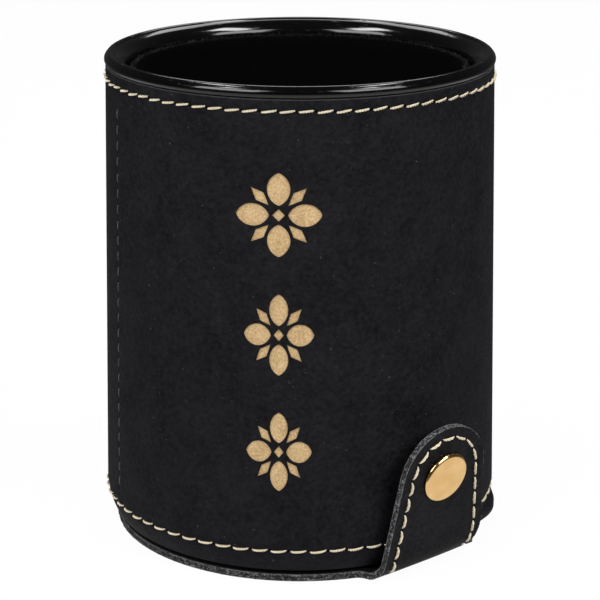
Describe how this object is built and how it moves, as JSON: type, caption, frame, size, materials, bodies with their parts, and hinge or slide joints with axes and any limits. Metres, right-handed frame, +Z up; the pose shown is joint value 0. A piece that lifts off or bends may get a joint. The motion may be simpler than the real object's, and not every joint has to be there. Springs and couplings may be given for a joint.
{
  "type": "pen holder cup",
  "caption": "Round leatherette-wrapped desk cup with a plastic liner, engraved ornaments, and a base flap closed by a snap tongue.",
  "frame": {"origin": "centre of the underside of the base flap's disc, where the cup stands", "axes": "+Z up along the cup's axis; -Y towards the engraved front; the flap's tongue is 39 degrees from the front towards +X"},
  "size_m": [0.0934, 0.0938, 0.1115],
  "materials": {
    "liner_plastic": "glossy black moulded plastic",
    "ring_plastic": "satin black moulded plastic",
    "felt": "black pressed felt",
    "black_leatherette": "matt black leatherette with a fine irregular grain",
    "gold_core": "matt gold layer under the leatherette's face",
    "wrap_backing": "black fibre backing",
    "cream_thread": "cream polyester sewing thread",
    "black_thread": "black polyester sewing thread",
    "strap_leatherette": "matt black leatherette",
    "flap_leatherette": "matt black leatherette with a fibrous cut edge",
    "gold_metal": "polished gold-plated cap",
    "snap_metal": "plated snap fittings"
  },
  "bodies": {
    "cup": {"cup_liner": "liner_plastic", "base_ring": "ring_plastic", "felt_sleeve": "felt", "felt_floor": "felt", "wrap_skin": "black_leatherette", "wrap_core": "gold_core", "wrap_backing": "wrap_backing", "top_stitches": "cream_thread", "bottom_stitches": "cream_thread", "seam_stitches": "black_thread", "strap_tail": "strap_leatherette", "snap_stud": "snap_metal", "snap_post": "snap_metal"},
    "base_flap": {"flap_outer_disc": "flap_leatherette", "flap_inner_disc": "flap_leatherette", "flap_disc_stitches": "cream_thread", "strap_leg": "strap_leatherette"},
    "tongue": {"flap_outer_tongue": "flap_leatherette", "flap_inner_tongue": "flap_leatherette", "tongue_stitches": "cream_thread", "snap_cap": "gold_metal", "snap_socket": "snap_metal"}
  },
  "joints": [
    {"name": "base_flap_hinge", "type": "hinge", "parent": "cup", "child": "base_flap", "pos_m": [-0.02651, 0.03286, 0.00242], "axis": [0.7782, 0.628, 0], "range_deg": [0, 110]},
    {"name": "tongue_fold", "type": "hinge", "parent": "base_flap", "child": "tongue", "pos_m": [0.02889, -0.0358, 0.00154], "axis": [0.7782, 0.628, 0], "range_deg": [0, 95]}
  ]
}
